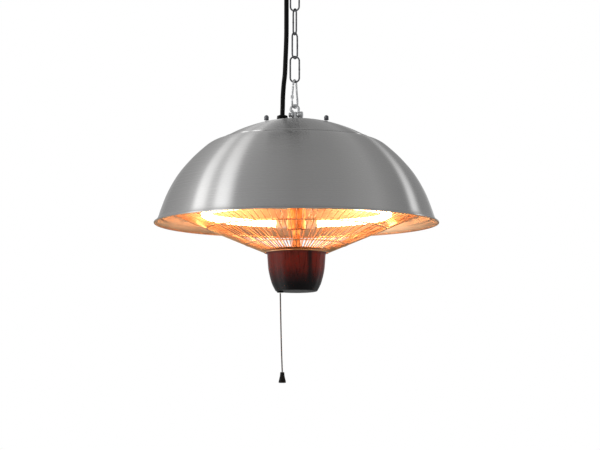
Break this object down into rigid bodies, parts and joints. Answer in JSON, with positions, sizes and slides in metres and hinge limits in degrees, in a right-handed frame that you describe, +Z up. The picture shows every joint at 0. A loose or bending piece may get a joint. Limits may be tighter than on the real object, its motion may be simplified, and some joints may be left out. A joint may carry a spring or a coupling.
{
  "type": "hanging patio heater",
  "caption": "Hanging electric patio heater: a spun steel dome over ring-shaped halogen lamps behind a wire guard, with a pull-switch cup below and a chain, carabiner and mains lead above.",
  "frame": {"origin": "centre of the ceiling plate's top face, where it meets the ceiling", "axes": "+Z up towards the ceiling, +X to the right as seen from the front, -Y towards the viewer; the dome's axis is vertical"},
  "size_m": [0.425, 0.425, 0.7081],
  "materials": {
    "brushed_steel": "spun and brushed round the axis",
    "reflector": "polished",
    "guard_wire": "bright plated wire",
    "bright_zinc": "bright zinc plate",
    "dark_zinc": "weathered zinc plate",
    "cup_enamel": "gloss black enamel",
    "black_rubber": "matt, lightly ribbed",
    "black_plastic": "moulded",
    "ceramic": "unglazed white",
    "quartz": "clear quartz, lit",
    "filament": "glowing tungsten",
    "pin_metal": "nickel plate",
    "pull_line": "braided"
  },
  "bodies": {
    "ceiling_fitting": {"ceiling_plate": "bright_zinc", "ceiling_hook": "bright_zinc"},
    "chain": {"chain_link_1": "dark_zinc", "chain_link_2": "dark_zinc", "chain_link_3": "dark_zinc", "chain_link_4": "dark_zinc", "chain_link_5": "dark_zinc", "carabiner_body": "bright_zinc", "carabiner_rivet": "bright_zinc", "shackle_bow": "dark_zinc", "shackle_bolt": "bright_zinc", "shackle_nut": "bright_zinc", "mains_cord": "black_rubber", "mains_cord_coil": "black_rubber", "cord_tie_chain": "black_plastic", "cord_tie_coil": "black_plastic", "plug_body": "black_plastic", "plug_pin_1": "pin_metal", "plug_pin_2": "pin_metal"},
    "gate": {"carabiner_gate": "bright_zinc"},
    "heater": {"eye_bolt": "bright_zinc", "eye_bolt_nut": "bright_zinc", "top_cap": "brushed_steel", "cap_nut_1": "bright_zinc", "cap_nut_2": "bright_zinc", "cap_nut_3": "bright_zinc", "cable_gland_body": "black_plastic", "cable_gland_nut": "black_plastic", "dome_shell": "brushed_steel", "reflector": "reflector", "column_tube": "bright_zinc", "stem_tube": "bright_zinc", "stem_nut": "bright_zinc", "switch_lead": "black_plastic", "guard": "guard_wire", "guard_clip_1": "bright_zinc", "guard_clip_2": "bright_zinc", "guard_clip_3": "bright_zinc", "lamp_tube_right": "quartz", "lamp_tube_left": "quartz", "lamp_filament_right": "filament", "lamp_filament_left": "filament", "lamp_end_cap_1": "ceramic", "lamp_end_cap_2": "ceramic", "lamp_end_cap_3": "ceramic", "lamp_end_cap_4": "ceramic", "lamp_bracket_front": "bright_zinc", "lamp_bracket_back": "bright_zinc", "terminal_block": "ceramic", "thermal_cutout": "black_plastic", "switch_cup": "cup_enamel", "cup_lid": "bright_zinc", "cord_bush": "black_plastic", "switch_body": "black_plastic", "pull_spring": "pin_metal"},
    "drum": {"ratchet_drum": "ceramic"},
    "pull_slider": {"switch_slider": "pin_metal"},
    "pull_tail": {"pull_cord": "pull_line", "pull_bell": "black_plastic"}
  },
  "joints": [
    {"name": "chain_swing", "type": "hinge", "parent": "ceiling_fitting", "child": "chain", "pos_m": [-0.0025, 0, -0.0805], "axis": [0, 1, 0], "range_deg": [-15, 15]},
    {"name": "heater_tilt", "type": "hinge", "parent": "chain", "child": "heater", "pos_m": [-0.0025, 0, -0.3077], "axis": [0.9781, -0.2079, 0], "range_deg": [-12, 12]},
    {"name": "gate_turn", "type": "hinge", "parent": "chain", "child": "gate", "pos_m": [-0.0063, -0.00658, -0.2824], "axis": [-0.866, 0.5, 0], "range_deg": [0, 20], "stiffness_Nm_per_rad": 0.02},
    {"name": "pull_slide", "type": "slide", "parent": "heater", "child": "pull_slider", "axis": [0, 0, -1], "range_m": [0, 0.01], "stiffness_N_per_m": 800, "deforming": ["pull_spring"]},
    {"name": "drum_turn", "type": "hinge", "parent": "heater", "child": "drum", "pos_m": [-0.0115, 0, -0.54], "axis": [0, 1, 0], "range_deg": [0, 90]},
    {"name": "pull_swing", "type": "hinge", "parent": "pull_slider", "child": "pull_tail", "pos_m": [-0.024, 0, -0.5748], "axis": [0, 1, 0], "range_deg": [-20, 20]}
  ],
  "couplings": [
    {"joint": "drum_turn", "follows": "pull_slide", "rad_per_m": 157}
  ]
}
